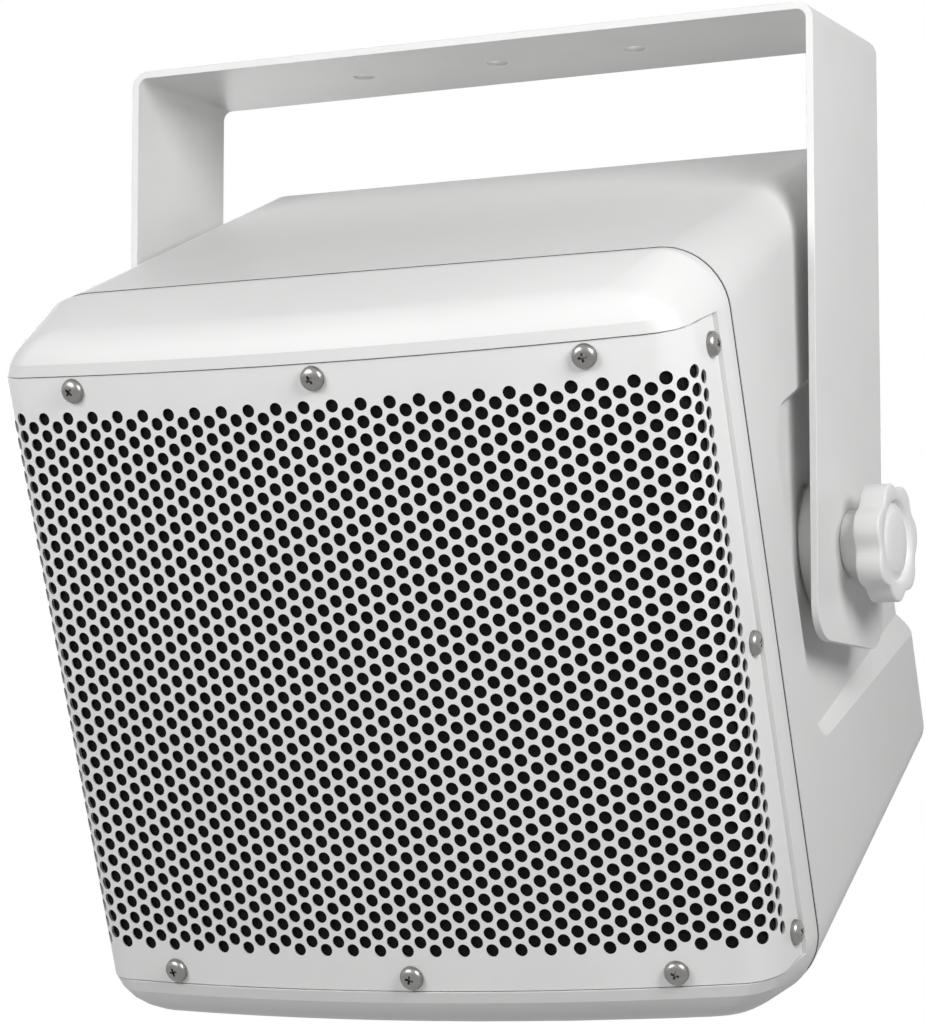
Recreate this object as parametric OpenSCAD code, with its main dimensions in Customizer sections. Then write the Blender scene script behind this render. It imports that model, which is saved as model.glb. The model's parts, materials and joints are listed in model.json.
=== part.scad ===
// Wall and ceiling loudspeaker. A tapered moulded cabinet with a perforated steel
// grille is carried between the legs of a U-shaped steel bracket by two star knobs.
// Row frame: origin at the middle of the strap's outer face, +Z out of that face,
// +Y away from the listener, +X to the right as seen from the front.
// Cabinet frame: origin at the front of the grille, +Y into the cabinet, +Z up.

/* [Bracket] */
// Width of the steel strip that the bracket is bent from
strip_w = 76; // [56:1:100]
// Thickness of the strip
strip_t = 3; // [2:0.5:5]
// Inner radius of the two bends
bend_in_r = 4; // [2:0.5:10]
// Rounding of the corners at the end of each leg
leg_corner_r = 14; // [2:1:20]
// Distance from the tilt axis to the end of each leg
leg_below_pivot = 40.5; // [33:0.5:55]
// Distance between neighbouring fixing holes in the strap
fix_pitch = 63; // [40:1:80]
// Diameter of the fixing holes
fix_d = 9; // [6:0.5:12]
// Space between the swinging cabinet and the strap
swing_gap = 10.7; // [3:0.1:40]
// Space between the side of the cabinet and each leg
leg_gap = 2; // [1:0.5:10]
// Downward tilt of the cabinet in the bracket
rest_tilt = 20.8; // [0:0.1:30]

/* [Cabinet] */
// Width at the joint between front frame and rear shell
cab_w = 301; // [270:1:370]
// Height above the middle of the grille, at that joint
cab_top = 151.5; // [145:0.5:190]
// Height below the middle of the grille, at that joint
cab_low = 147.5; // [145:0.5:190]
// Depth from the front of the grille to the back
cab_d = 248; // [225:1:310]
// Depth of the front frame, up to the joint
frame_d = 56; // [54:0.5:62]
// How far each side comes in towards the back
side_draw = 12.5; // [5:0.5:20]
// How far the top rises towards the back
top_rise = 3.5; // [0:0.5:6]
// How far the bottom rises towards the back
low_rise = 37.5; // [10:0.5:45]
// Corner radius at the joint
corner_r = 25.5; // [18:0.5:32]
// Corner radius at the back
back_corner_r = 12; // [9:0.5:20]
// Rounding of the edge round the back
back_edge_r = 7; // [3:0.5:8]
// Wall thickness of the mouldings
wall = 4; // [3:0.5:5]
// Rounding of the front frame above and below the grille
nose_r = 18; // [14:0.5:18]
// Width of the stepped band in front of the joint
band_w = 6; // [3:0.5:8]
// Depth of that step
band_step = 0.5; // [0.3:0.1:1]
// Open line between front frame and rear shell
joint_gap = 0.4; // [0.2:0.1:0.8]
// Width of the flanges that meet at the joint
flange_w = 13; // [12:0.5:16]

/* [Side recess] */
// Distance of the tilt axis behind the front of the grille
pivot_y = 136; // [120:1:150]
// Height of the tilt axis above the middle of the grille
pivot_z = 11; // [0:0.5:20]
// Distance of the recess's front edge behind the front of the grille
recess_y = 88; // [80:1:95]
// Height of the recess above the tilt axis
recess_up = 67; // [55:1:75]
// Height of the recess below the tilt axis
recess_down = 69.5; // [55:0.5:75]
// Depth of the recess at its front
recess_front_t = 4; // [2:0.5:6]
// Depth of the recess at the back
recess_back_t = 7.5; // [5:0.5:10]
// Corner radius of the recess
recess_r = 18; // [8:1:25]

/* [Tilt joint] */
// Diameter of the boss under each washer
boss_d = 50; // [40:1:54]
// Diameter of the rubber washers
washer_d = 55.6; // [52:0.2:60]
// Thickness of the rubber washers
washer_t = 8.8; // [6:0.1:10]
// Running gap beside each leg
run_gap = 0.2; // [0.1:0.05:0.5]
// Diameter of the knob studs
stud_d = 7.9; // [6:0.1:8.5]
// Radial gap between stud and insert
stud_gap = 0.05; // [0.02:0.01:0.1]
// Outer diameter of the threaded inserts
insert_d = 13; // [11:0.5:16]
// Length of the threaded inserts
insert_l = 20; // [14:1:26]
// Diameter of the knob's neck
neck_d = 27; // [18:0.5:32]
// Length of the knob's neck
neck_l = 9; // [5:0.5:14]
// Diameter of the knob over its lobes
knob_d = 48; // [36:1:60]
// Thickness of the knob's star
knob_t = 11; // [8:0.5:16]
// Number of lobes
lobes = 7; // [5:1:9]

/* [Grille] */
// Width over the side flanges
grille_w = 295.6; // [264:0.2:360]
// Height of the sheet
grille_h = 254.5; // [240:0.5:330]
// Radius of the bowed front
bow_r = 859; // [600:1:1200]
// Outer radius of the bends at the sides
grille_bend_r = 14.6; // [10:0.1:18]
// Depth of the side flanges behind the front of the grille
grille_flange_y = 43; // [40:0.5:46]
// Thickness of the sheet
sheet_t = 1.2; // [0.8:0.1:2]
// Diameter of the perforations
perf_d = 5; // [3:0.1:5.4]
// Distance between neighbouring perforations
perf_pitch = 7; // [6.5:0.1:9]
// Columns of perforations on each side of the middle one
perf_cols = 26; // [10:1:26]
// Perforations in each column
perf_rows = 32; // [10:1:32]
// Thickness of the foam behind the grille
foam_t = 4; // [2:0.5:5]
// Gap between the sheet and what lies behind it
sheet_gap = 0.2; // [0.1:0.05:0.4]

/* [Grille screws] */
// Diameter of the screw heads
pan_d = 9.9; // [8:0.1:11]
// Height of the screw heads
pan_h = 3.3; // [2.5:0.1:4]
// Diameter of the screw shanks
pan_shank_d = 4.9; // [3.8:0.1:5]
// Length of the screw shanks
pan_shank_l = 11; // [8:0.5:13]
// Distance of the outer front screws from the middle, along the bow
pan_u = 110; // [80:1:120]
// Distance of the front screws from the edge of the sheet
pan_edge = 5.8; // [5.5:0.1:6.2]
// Distance of the outer side screws from the edge of the sheet
pan_side_edge = 10.8; // [8:0.1:30]
// Distance of the side screws behind the front of the grille
pan_side_y = 37.5; // [36:0.5:38]

/* [Driver] */
// Front face of the panel that carries the driver, behind the front of the grille
panel_y = 31; // [30.5:0.5:32]
// Thickness of that panel
panel_t = 6; // [5:0.5:8]
// Outer diameter of the basket
basket_d = 210; // [190:1:216]
// Diameter of the panel's driver opening
driver_hole_d = 186; // [176:1:188]
// Diameter of the cone at its outer edge
cone_d = 160; // [150:1:162]
// Travel of the cone each way
cone_travel = 3; // [1:0.5:3]
// Outer diameter of the voice coil former
former_d = 52; // [44:0.5:52]
// Depth of the driver behind the panel's front face
driver_depth = 84; // [80:1:100]
// Outer diameter of the magnet
magnet_d = 120; // [100:1:130]
// Thickness of the magnet
magnet_t = 18; // [12:0.5:20]
// Number of driver screws
driver_screws = 8; // [4:1:8]
// Outer diameter of the tweeter's horn
horn_d = 48; // [44:1:48]

/* [Inside] */
// Thickness of the damping pad
pad_t = 12; // [6:1:25]
// Width of the crossover board
board_w = 100; // [80:1:104]
// Height of the crossover board
board_h = 84; // [70:1:90]
// Height of the board's spacers
spacer_h = 8; // [5:0.5:12]
// Width of the matching transformer's core
core_w = 66; // [50:1:70]
// Height of that core
core_h = 56; // [45:1:60]
// Stack thickness of that core
core_t = 30; // [20:1:36]

/* [Rear cover] */
// Width of the terminal cover
cover_w = 124; // [110:1:140]
// Height of the terminal cover
cover_h = 92; // [84:1:100]
// Thickness of the terminal cover
cover_t = 3; // [2:0.5:4]
// Height of the cover's middle above the middle of the grille
cover_z = 70; // [62:1:80]
// Thickness of the cover's gasket
cover_gasket_t = 1.5; // [1:0.25:3]
// Outer diameter of the gland's thread
gland_d = 20; // [16:1:25]
// Diameter of the gland's cable bore
gland_bore_d = 9; // [5:0.5:12]

/* [Hidden] */
$fn = 64;
eps = 0.02;
white = [0.93, 0.93, 0.92];
plastic_white = [0.90, 0.90, 0.89];
steel = [0.72, 0.70, 0.67];
black = [0.07, 0.07, 0.07];

// The cabinet's outline at a distance behind the front of the grille
taper_d = cab_d - frame_d;
function back_share(y) = (y - frame_d) / taper_d;
function half_w(y) = cab_w / 2 - side_draw * back_share(y);
function top_z(y) = cab_top + top_rise * back_share(y);
function low_z(y) = cab_low - low_rise * back_share(y);
function round_r(y) = corner_r + (back_corner_r - corner_r) * back_share(y);

// A rounded rectangle with its own height above and below zero
function arc_pts(cx, cy, r, a0, a1, n) =
    [for (i = [0 : n]) let (a = a0 + (a1 - a0) * i / n) [cx + r * cos(a), cy + r * sin(a)]];
function rounded(hw, up, down, r, n = 12) = concat(
    arc_pts(hw - r, up - r, r, 0, 90, n), arc_pts(r - hw, up - r, r, 90, 180, n),
    arc_pts(r - hw, r - down, r, 180, 270, n), arc_pts(hw - r, r - down, r, 270, 360, n));
function outline_at(y, inset) =
    rounded(half_w(y) - inset, top_z(y) - inset, low_z(y) - inset, max(round_r(y) - inset, 2));

// An outline drawn in X and Z, as points at the distance y
function level_pts(y, outline) = [for (p = outline) [p[0], y, p[1]]];
function reversed(list) = [for (i = [len(list) - 1 : -1 : 0]) list[i]];

// The grille's plan: a bowed front, a bend and a flat flange on each side
bend_x = grille_w / 2 - grille_bend_r;
bow_a = asin(bend_x / (bow_r - grille_bend_r));
bend_y = bow_r - (bow_r - grille_bend_r) * cos(bow_a);
bow_u = bow_r * bow_a * PI / 180;
bend_u = grille_bend_r * (90 - bow_a) * PI / 180;
// The same plan moved inwards, from flange to flange, down to a depth y
function plan_pts(inset, y, n = 10) = concat([[-(grille_w / 2 - inset), y]],
    arc_pts(-bend_x, bend_y, grille_bend_r - inset, 180, 270 - bow_a, n),
    arc_pts(0, bow_r, bow_r - inset, 270 - bow_a, 270 + bow_a, 2 * n),
    arc_pts(bend_x, bend_y, grille_bend_r - inset, 270 + bow_a, 360, n),
    [[grille_w / 2 - inset, y]]);

// The tilt axis and the bracket that reaches it
swing_r = max(norm([pivot_y - nose_r, grille_h / 2 + abs(pivot_z)]) + nose_r,
              norm([cab_d - pivot_y, cab_top + top_rise - pivot_z]));
pivot_drop = swing_r + swing_gap + strip_t;
inner_half = cab_w / 2 + leg_gap;
outer_half = inner_half + strip_t;
leg_l = pivot_drop + leg_below_pivot;

// The side recess
recess_slope = atan((side_draw / taper_d) + (recess_back_t - recess_front_t) / (cab_d - recess_y));
side_slope = atan(side_draw / taper_d);
floor_x = half_w(recess_y) - recess_front_t;
boss_x = inner_half - run_gap - washer_t;

// The driver's own levels, forward of the panel's front face
flange_t = 3;
yoke_t = 8;
top_plate_t = 6;
yoke_back = -driver_depth;
magnet_back = yoke_back + yoke_t;
plate_back = magnet_back + magnet_t;
plate_front = plate_back + top_plate_t;
cone_neck_z = -32;
former_r = former_d / 2;
former_t = 0.4;
winding_t = 1;
coil_gap = 0.5;
pole_r = former_r - former_t - coil_gap;
gap_r = former_r + winding_t + coil_gap;
surround_w = 11;
surround_t = 1.2;
surround_h = 6;
cone_r = cone_d / 2;
lip_r = cone_r + surround_w;
driver_screw_r = basket_d / 2 - 5;
driver_head_d = 7.6;
lip_outer = driver_screw_r - driver_head_d / 2 - 0.4;
spider_z = cone_neck_z - 8;
spider_r = 58;
basket_foot_r = 62;
post_r = 5;
cup_r = 17;
cup_back = -24;
cup_front = -8;
dome_r = 12.5;

// Screws behind the grille that hold the two mouldings together
shell_screw_x = cab_w / 2 - 14;
shell_screw_z = [-95, -45, 45, 95];
shell_screw_r = 2.5;
shell_screw_l = 44;
shell_boss_r = 6.5;
shell_boss_l = 26;

// The rear wall's inside
inner_back = cab_d - wall;
ledge_z = grille_h / 2 - pan_edge * 2 - 0.6;
rebate_gap = 0.3;
nose_lead = 0.6;
band_y = frame_d - band_w;
pan_side_z = grille_h / 2 - pan_side_edge;
core_z = grille_h / 2 + 2.5;
cover_hole_w = cover_w - 26;
cover_hole_h = cover_h - 26;
cover_y = cab_d + cover_gasket_t;
board_x = -64;
board_z = -48;
trafo_x = 62;
trafo_z = -50;

// Columns and rows of perforations that fit on the sheet
perf_step = perf_pitch * sqrt(3) / 2;
perf_room = bow_u + bend_u + pan_side_y - bend_y - pan_d / 2 - perf_d / 2 - 1;
perf_last = min(perf_cols, floor(perf_room / perf_step));
perf_flats = floor(bow_u / perf_step - 1);
perf_count = min(perf_rows, floor((grille_h - 4 * pan_edge) / perf_pitch));

// Turns the cabinet frame into the row frame
module in_bracket() {
    translate([0, 0, -pivot_drop]) rotate([rest_tilt, 0, 0]) translate([0, -pivot_y, -pivot_z]) children();
}

// Solid that wraps a cloud of points
module wrap(points) {
    hull() polyhedron(points, [[for (i = [0 : len(points) - 1]) i]]);
}

// A flat plate along Y, drawn in X and Z
module slab(y0, y1) {
    translate([0, y1, 0]) rotate([90, 0, 0]) linear_extrude(y1 - y0) children();
}

// A plate along X, drawn in Y and Z
module side_slab(x0, x1) {
    translate([x0, 0, 0]) rotate([90, 0, 90]) linear_extrude(x1 - x0) children();
}

// A cylinder along Y from y0 to y1
module y_rod(x, z, r, y0, y1) {
    translate([x, y1, z]) rotate([90, 0, 0]) cylinder(r = r, h = y1 - y0);
}

// A cylinder along X from x0 to x1, on the tilt axis
module pivot_rod(r, x0, x1) {
    translate([x0, pivot_y, pivot_z]) rotate([0, 90, 0]) cylinder(r = r, h = x1 - x0);
}

// Both sides of the cabinet
module both_sides() {
    for (s = [0, 1]) mirror([s, 0, 0]) children();
}

// A ring made by turning a profile round the driver's axis
module driver_ring(points) {
    translate([0, panel_y, 0]) rotate([90, 0, 0]) rotate_extrude($fn = 128) polygon(points);
}

// Places a part at a distance u along the grille's front, facing outwards
module on_sheet(u) {
    v = abs(u);
    mirror([u < 0 ? 1 : 0, 0, 0]) {
        if (v <= bow_u)
            translate([0, bow_r, 0]) rotate([0, 0, v / bow_r * 180 / PI])
                translate([0, -bow_r, 0]) children();
        else if (v <= bow_u + bend_u)
            translate([bend_x, bend_y, 0]) rotate([0, 0, bow_a + (v - bow_u) / grille_bend_r * 180 / PI])
                translate([0, -grille_bend_r, 0]) children();
        else
            translate([grille_w / 2, bend_y + v - bow_u - bend_u, 0]) rotate([0, 0, 90]) children();
    }
}

// Places a part at each of the twelve grille screws, facing outwards
module at_grille_screws() {
    for (u = [-pan_u, 0, pan_u], s = [-1, 1])
        on_sheet(u) translate([0, 0, s * (grille_h / 2 - pan_edge)]) children();
    for (z = [-1, 0, 1]) both_sides()
        translate([grille_w / 2, pan_side_y, z * pan_side_z]) rotate([0, 0, 90]) children();
}

// U-shaped bracket: a strap with three fixing holes, two bends and two rounded legs
module u_bracket() {
    bend_r = bend_in_r + strip_t;
    color(white) difference() {
        union() {
            translate([bend_r - outer_half, -strip_w / 2, -strip_t])
                cube([2 * (outer_half - bend_r), strip_w, strip_t]);
            both_sides() {
                translate([outer_half - bend_r, strip_w / 2, -bend_r]) rotate([90, 0, 0])
                    rotate_extrude(angle = 90) translate([bend_in_r, 0]) square([strip_t, strip_w]);
                translate([inner_half, -strip_w / 2, -leg_l]) cube([strip_t, strip_w, leg_l - bend_r]);
            }
        }
        for (i = [-1, 0, 1])
            translate([i * fix_pitch, 0, -2 * strip_t]) cylinder(d = fix_d, h = 3 * strip_t);
        translate([-outer_half - strip_t, 0, -pivot_drop]) rotate([0, 90, 0])
            cylinder(d = stud_d + 1.1, h = 2 * (outer_half + strip_t));
        both_sides() for (t = [0, 1]) mirror([0, t, 0])
            translate([inner_half - 1, strip_w / 2 - leg_corner_r, -leg_l]) difference() {
                translate([0, 0, -1]) cube([strip_t + 2, leg_corner_r + 1, leg_corner_r + 1]);
                translate([-1, 0, leg_corner_r]) rotate([0, 90, 0])
                    cylinder(r = leg_corner_r, h = strip_t + 4);
            }
    }
}

// Solid taper from the joint to the back, with the edge round the back rounded off
module taper(inset, y0) {
    edge = max(back_edge_r - inset, 1);
    last = cab_d - inset - edge;
    wrap(concat(level_pts(y0, outline_at(frame_d, inset)), [for (a = [0 : 15 : 90])
        each level_pts(last + edge * sin(a), outline_at(last, inset + edge * (1 - cos(a))))]));
}

// Outline of the side recess, drawn in Y and Z, wider or narrower at the back
function recess_pts(y0, grow, back_in) = let (
    up = pivot_z + recess_up + grow, down = pivot_z - recess_down - grow,
    r = recess_r + grow, y1 = cab_d + 20) concat(
    [[y1, down + back_in], [y1, up - back_in]],
    arc_pts(y0 - grow + r, up - r, r, 90, 180, 8), arc_pts(y0 - grow + r, down + r, r, 180, 270, 8));

// Solid that cuts the side recess, or with grow the wall that surrounds it
module recess(grow) {
    hull() {
        translate([half_w(recess_y), recess_y, 0]) rotate([0, 0, side_slope]) translate([0, -recess_y, 0])
            side_slab(-eps, 6) polygon(recess_pts(recess_y, grow, 0));
        translate([floor_x - grow, recess_y, 0]) rotate([0, 0, recess_slope]) translate([0, -recess_y, 0])
            side_slab(0, eps) polygon(recess_pts(recess_y + 3, grow - recess_front_t, 4));
    }
}

// Flat ring that follows the cabinet's outline inside the wall
module joint_ring(y0, y1, outer, inner) {
    difference() {
        slab(y0, y1) polygon(outline_at(frame_d, outer));
        slab(y0 - 1, y1 + 1) polygon(outline_at(frame_d, inner));
    }
}

// Tapered rear shell with a recess, a boss and an insert seat on each side
module rear_shell() {
    y0 = frame_d + joint_gap;
    color(plastic_white) difference() {
        union() {
            difference() {
                taper(0, y0);
                difference() {
                    taper(wall, y0 - 1);
                    both_sides() recess(wall);
                }
                both_sides() recess(0);
            }
            joint_ring(y0, y0 + 6, wall - 1, flange_w);
            both_sides() {
                pivot_rod(boss_d / 2, floor_x - wall - 8, boss_x);
                pivot_rod(insert_d / 2 + 5, boss_x - insert_l - 3, boss_x - 5);
                for (z = shell_screw_z) y_rod(shell_screw_x, z, shell_boss_r, y0, y0 + shell_boss_l);
            }
            for (x = [-1, 1], z = [-1, 1])
                y_rod(board_x + x * (board_w / 2 - 6), board_z + z * (board_h / 2 - 6), 5,
                    inner_back - 3, inner_back + 1);
        }
        joint_ring(y0 - 1, y0 + 2, wall + 0.5, wall + 4.5);
        both_sides() {
            pivot_rod(insert_d / 2, boss_x - insert_l, boss_x + 1);
            for (z = shell_screw_z)
                y_rod(shell_screw_x, z, shell_screw_r, y0 - 1, y0 + shell_boss_l - 2);
        }
        translate([-cover_hole_w / 2, inner_back - 2, cover_z - cover_hole_h / 2])
            cube([cover_hole_w, wall + 4, cover_hole_h]);
        at_cover_screws() rotate([-90, 0, 0]) translate([0, 0, -wall - 2]) cylinder(r = 1.5, h = wall + 3);
        at_board_screws() cylinder(r = 1.3, h = 6);
        at_transformer_screws() cylinder(r = 1.7, h = wall - 1);
    }
}

// Outline of the front frame's nose at a height up, moved back by setback
function nose_level(up, setback, inset) =
    let (cut = grille_h / 2 + rebate_gap + nose_r - corner_r, view_r = corner_r - inset,
         corner = up > cut ? view_r - sqrt(max(view_r * view_r - pow(up - cut, 2), 0)) : 0,
         hw = grille_w / 2 + 0.2 - inset - corner, r = min(grille_bend_r, hw - 1),
         a = asin((hw - r) / (bow_r - r)), y = bow_r - (bow_r - r) * cos(a) + setback, n = 6)
    concat(arc_pts(r - hw, y, r, 180, 270 - a, n),
           arc_pts(0, bow_r + setback, bow_r, 270 - a, 270 + a, 2 * n),
           arc_pts(hw - r, y, r, 270 + a, 360, n));

// Outer form of the front frame, or with an inset its hollow, up to a depth y
module frame_form(inset, y) {
    r = nose_r - inset;
    nose = [for (a = [0 : 15 : 90]) let (up = grille_h / 2 + rebate_gap + r * sin(a))
        for (p = nose_level(up, inset - nose_lead + r * (1 - cos(a)), inset), s = [-1, 1])
            [p[0], p[1], s * up]];
    wrap(concat(nose, level_pts(y, outline_at(frame_d, inset))));
}

// Moulded front frame: a rounded nose above and below the grille, a rebate for the
// sheet, a panel for the driver and a flange at the joint
module front_frame() {
    color(white) difference() {
        union() {
            difference() {
                frame_form(0, band_y);
                difference() {
                    frame_form(wall, band_y + 1);
                    translate([-cab_w, -cab_d, -core_z])
                        cube([2 * cab_w, cab_d + panel_y + panel_t, 2 * core_z]);
                }
            }
            joint_ring(band_y - 6, frame_d, wall - 1, flange_w);
            joint_ring(band_y - 1, frame_d, band_step, wall + 1);
            both_sides() {
                for (z = [-1, 0, 1]) translate([grille_w / 2 - 15, pan_side_y, z * pan_side_z])
                    rotate([0, 90, 0]) cylinder(r = 6.5, h = 13);
                for (z = shell_screw_z) y_rod(shell_screw_x, z, shell_boss_r, panel_y, frame_d);
            }
        }
        difference() {
            translate([-cab_w, -cab_d, -grille_h / 2 - rebate_gap])
                cube([2 * cab_w, cab_d + grille_flange_y + rebate_gap, grille_h + 2 * rebate_gap]);
            translate([0, 0, -grille_h]) linear_extrude(2 * grille_h)
                polygon(plan_pts(sheet_t + sheet_gap, cab_d));
        }
        translate([0, 0, -ledge_z]) linear_extrude(2 * ledge_z) polygon(plan_pts(-10, panel_y));
        y_rod(0, 0, driver_hole_d / 2, panel_y - 1, panel_y + panel_t + 1);
        both_sides() for (z = shell_screw_z)
            y_rod(shell_screw_x, z, shell_screw_r + 0.2, panel_y - 1, frame_d + 1);
        at_grille_screws() rotate([-90, 0, 0]) cylinder(d = pan_shank_d + 0.1, h = pan_shank_l + 2);
        at_driver_screws() rotate([90, 0, 0]) translate([0, 0, -panel_t - 1])
            cylinder(r = 2, h = panel_t + 2);
    }
}

// Rubber gasket in the rear shell's groove
module cabinet_gasket() {
    color(black) joint_ring(frame_d, frame_d + joint_gap + 2, wall + 0.5, wall + 4.5);
}

// A point of the bow at radius r, and the angle of a distance u along its front
function bow_point(r, a) = [r * sin(a), bow_r - r * cos(a)];
function bow_angle(u) = u / bow_r * 180 / PI;

// The cutter for one column of holes, neighbouring columns staggered by half a pitch
module perforations(i) {
    on_sheet(i * perf_step) for (j = [0 : perf_count - 1])
        translate([0, 0, (perf_count / 2 - 0.5 - j + (abs(i) % 2 == 0 ? -0.25 : 0.25)) * perf_pitch])
            rotate([90, 0, 0]) cylinder(d = perf_d, h = 4 * sheet_t, center = true, $fn = 16);
}

// Flat strip of the bowed front between two angles
module bow_strip(a0, a1) {
    translate([0, 0, -grille_h / 2]) linear_extrude(grille_h)
        polygon([bow_point(bow_r, a0), bow_point(bow_r, a1),
                 bow_point(bow_r - sheet_t, a1), bow_point(bow_r - sheet_t, a0)]);
}

// The cutters for the holes of the grille screws
module screw_holes() {
    at_grille_screws() rotate([-90, 0, 0]) translate([0, 0, -1])
        cylinder(d = pan_shank_d + 0.4, h = sheet_t + 2);
}

// Plan of one side of the sheet, from its last flat strip round the bend to the edge
function side_pts(r, t) = concat([bow_point(bow_r - t, bow_angle((perf_flats + 0.5) * perf_step))],
    arc_pts(bend_x, bend_y, r, 270 + bow_a, 360, 9), [[bend_x + r, grille_flange_y]]);

// One side of the sheet with its holes
module sheet_side() {
    difference() {
        translate([0, 0, -grille_h / 2]) linear_extrude(grille_h)
            polygon(concat(side_pts(grille_bend_r, 0),
                reversed(side_pts(grille_bend_r - sheet_t, sheet_t))));
        for (i = [perf_flats + 1 : perf_last]) perforations(i);
        screw_holes();
    }
}

// Perforated steel sheet: a flat strip for every column of holes, and a bend at each side
module grille() {
    color(white) union() {
        for (i = [-perf_flats : perf_flats]) difference() {
            bow_strip(bow_angle((i - 0.5) * perf_step), bow_angle((i + 0.5) * perf_step));
            perforations(i);
            screw_holes();
        }
        both_sides() sheet_side();
    }
}

// Black foam against the back of the grille
module grille_foam() {
    inset = sheet_t + sheet_gap;
    depth = panel_y - 0.6;
    color(black) translate([0, 0, 0.3 - ledge_z]) linear_extrude(2 * ledge_z - 0.6)
        polygon(concat(plan_pts(inset, depth), reversed(plan_pts(inset + foam_t, depth))));
}

// One pan-head screw with a cross recess, its head outwards along -Y
module pan_screw(head_d, head_h, shank_d, shank_l) {
    cap_r = (head_d * head_d / 4 + head_h * head_h) / (2 * head_h);
    rotate([90, 0, 0]) difference() {
        union() {
            intersection() {
                translate([0, 0, head_h - cap_r]) sphere(r = cap_r);
                cylinder(d = head_d, h = head_h);
            }
            translate([0, 0, -shank_l]) cylinder(d = shank_d, h = shank_l + 0.5);
        }
        for (a = [0, 90]) rotate([0, 0, a])
            translate([-0.26 * head_d, -0.05 * head_d, 0.4 * head_h])
                cube([0.52 * head_d, 0.1 * head_d, head_h]);
    }
}

// The twelve screws that hold the grille
module grille_screws() {
    color(steel) at_grille_screws() pan_screw(pan_d, pan_h, pan_shank_d, pan_shank_l);
}

// The eight long screws behind the grille that hold the rear shell
module shell_screws() {
    color(steel) both_sides() for (z = shell_screw_z) translate([shell_screw_x, panel_y, z])
        pan_screw(9, 3, 2 * shell_screw_r - 0.1, shell_screw_l);
}

// Rubber washer between boss and leg
module pivot_washer() {
    color([0.55, 0.55, 0.55]) difference() {
        pivot_rod(washer_d / 2, boss_x, inner_half - run_gap);
        pivot_rod(stud_d / 2 + 0.2, boss_x - 1, inner_half + 1);
    }
}

// Brass insert with the thread for the knob's stud
module insert() {
    color([0.80, 0.65, 0.30]) difference() {
        pivot_rod(insert_d / 2, boss_x - insert_l, boss_x - 0.3);
        pivot_rod(stud_d / 2 + stud_gap, boss_x - insert_l - 1, boss_x + 1);
    }
}

knob_x = outer_half + run_gap;
stud_end = knob_x + neck_l + knob_t - 4;

// Outline of the star knob
function star_pts(r, wave) =
    [for (a = [0 : 2.5 : 357.5]) (r - wave + wave * cos(lobes * a)) * [cos(a), sin(a)]];

// Star knob with a round neck and a dished face
module knob() {
    wave = knob_d / 24;
    color(white) translate([0, pivot_y, pivot_z]) rotate([0, 90, 0]) difference() {
        union() {
            translate([0, 0, knob_x]) cylinder(d = neck_d, h = neck_l + 1);
            translate([0, 0, knob_x + neck_l]) linear_extrude(knob_t) polygon(star_pts(knob_d / 2, wave));
        }
        translate([0, 0, knob_x - 1]) cylinder(d = stud_d, h = stud_end - knob_x + 1);
        translate([0, 0, knob_x + neck_l + knob_t - 2]) difference() {
            cylinder(r = knob_d / 2 - 3 * wave, h = 3);
            translate([0, 0, -1]) cylinder(r = knob_d / 2 - 4.6 * wave, h = 3);
        }
    }
}

// Threaded stud that is moulded into the knob
module stud() {
    color(steel) pivot_rod(stud_d / 2, boss_x - insert_l + 2, stud_end);
}

// Places a part at each driver screw, on the basket's flange
module at_driver_screws() {
    for (i = [0 : driver_screws - 1]) rotate([0, (i + 0.5) * 360 / driver_screws, 0])
        translate([driver_screw_r, panel_y, 0]) children();
}

// Pressed steel basket: flange, sloping wall with windows and a foot on the top plate
module woofer_basket() {
    hole_r = driver_hole_d / 2 - 1;
    windows = 6;
    color([0.12, 0.12, 0.12]) difference() {
        driver_ring([[basket_foot_r, plate_front + 2], [hole_r - 6, -14],
            [hole_r - 6, flange_t - 1.2], [basket_d / 2, flange_t - 1.2],
            [basket_d / 2, 0], [hole_r, 0], [hole_r, -16], [basket_foot_r + 3, plate_front],
            [gap_r + 8, plate_front], [gap_r + 8, plate_front + 2]]);
        for (i = [0 : windows - 1]) rotate([0, (i + 0.5) * 360 / windows, 0])
            translate([basket_foot_r + 6, panel_y + 17, -19]) cube([40, -plate_front - 20, 38]);
        at_driver_screws() rotate([90, 0, 0]) translate([0, 0, -1]) cylinder(r = 2.3, h = flange_t + 2);
    }
}

// Ring on the basket's flange that holds the surround's lip down
module woofer_gasket() {
    z = flange_t - 1.2 + surround_t;
    color(black) driver_ring([[lip_r, z], [lip_outer, z], [lip_outer, z + 2], [lip_r, z + 2]]);
}

// Rubber half-roll between cone and basket
module woofer_surround() {
    z = flange_t - 1.2;
    mid = cone_r + surround_w / 2;
    a = surround_w / 2 - 0.5;
    color([0.10, 0.10, 0.10]) driver_ring(concat(
        [[lip_outer, z], [lip_outer, z + surround_t]],
        [for (t = [0 : 12 : 180]) [mid + a * cos(t), z + surround_t + surround_h * sin(t)]],
        [[cone_r - 5, z + surround_t], [cone_r - 5, z], [cone_r + 0.5 + surround_t, z]],
        [for (t = [168 : -12 : 12]) [mid + (a - surround_t) * cos(t), z + (surround_h) * sin(t)]],
        [[lip_r - 0.5 - surround_t, z]]));
}

// Curved paper cone
module woofer_cone() {
    z1 = flange_t - 1.2 - 0.02;
    t = 0.9;
    n = 12;
    neck = former_r + 0.02;
    depth = z1 - cone_neck_z;
    function curve(k) = [neck + (cone_r - 5 - neck) * k, cone_neck_z + depth * pow(k, 0.85)];
    color([0.13, 0.13, 0.13]) driver_ring(concat(
        [for (i = [0 : n]) curve(i / n) - [0, t]], [[cone_r, z1 - t], [cone_r, z1]],
        [for (i = [0 : n]) curve(1 - i / n)]));
}

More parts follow.
